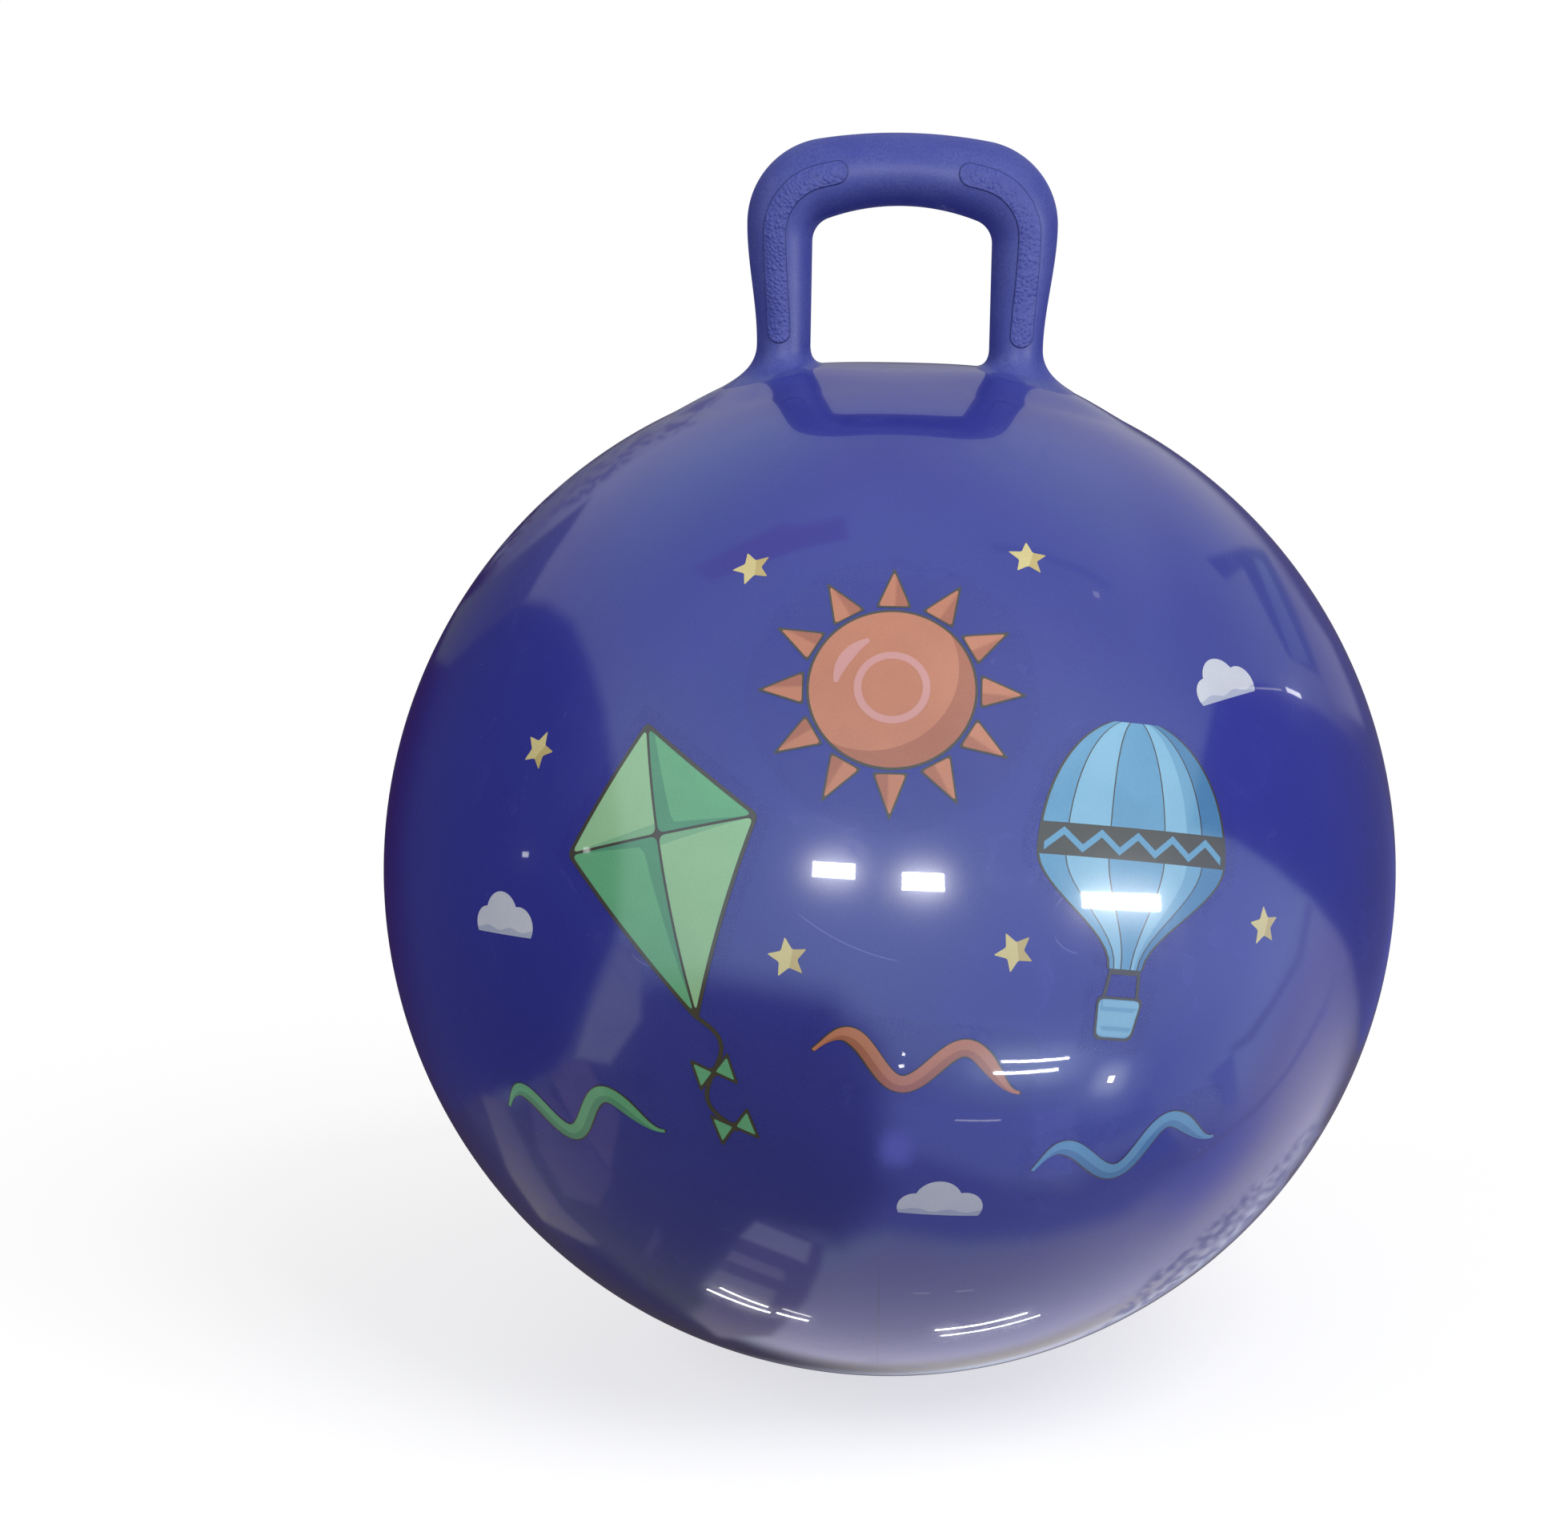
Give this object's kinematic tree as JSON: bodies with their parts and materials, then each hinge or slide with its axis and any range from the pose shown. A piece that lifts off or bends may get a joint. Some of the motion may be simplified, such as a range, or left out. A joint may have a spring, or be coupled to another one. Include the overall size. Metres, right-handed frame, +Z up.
{
  "type": "hopper ball",
  "caption": "Inflated sit-on bouncing ball with a closed loop handle, grip pads, an air valve with a push-in plug, and a printed front.",
  "frame": {"origin": "middle of the flat patch that the ball rests on", "axes": "+Z up through the handle, X along the handle's width, the printed front faces -Y, the valve is on the +Y side"},
  "size_m": [0.4498, 0.45, 0.549],
  "materials": {
    "ball_pvc": "glossy soft PVC, violet-blue",
    "handle_pvc": "satin soft PVC, violet-blue",
    "grip_pvc": "pebbled soft PVC, violet-blue",
    "valve_pvc": "thick soft PVC, violet-blue",
    "plug_plastic": "white polyethylene",
    "clear_film": "clear transfer film",
    "dark_ink": "olive-brown print",
    "green_ink": "green print",
    "pale_green_ink": "pale green print",
    "orange_ink": "apricot print",
    "pink_ink": "pale pink print",
    "blue_ink": "sky blue print",
    "pale_blue_ink": "pale blue print",
    "yellow_ink": "cream yellow print",
    "white_ink": "white print"
  },
  "bodies": {
    "ball": {"ball_shell": "ball_pvc", "handle_root": "ball_pvc", "handle": "handle_pvc", "grip_pads": "grip_pvc", "valve_seat": "valve_pvc", "kite_film": "clear_film", "sun_film": "clear_film", "balloon_film": "clear_film", "kite_dark_ink": "dark_ink", "kite_green_ink": "green_ink", "kite_pale_ink": "pale_green_ink", "sun_dark_ink": "dark_ink", "sun_orange_ink": "orange_ink", "sun_pink_ink": "pink_ink", "balloon_dark_ink": "dark_ink", "balloon_blue_ink": "blue_ink", "balloon_pale_ink": "pale_blue_ink", "star_yellow_ink": "yellow_ink", "cloud_white_ink": "white_ink"},
    "air_plug": {"valve_plug": "plug_plastic"}
  },
  "joints": [
    {"name": "plug_pull", "type": "slide", "parent": "ball", "child": "air_plug", "axis": [0, 0.5736, 0.8192], "range_m": [0, 0.024]}
  ]
}
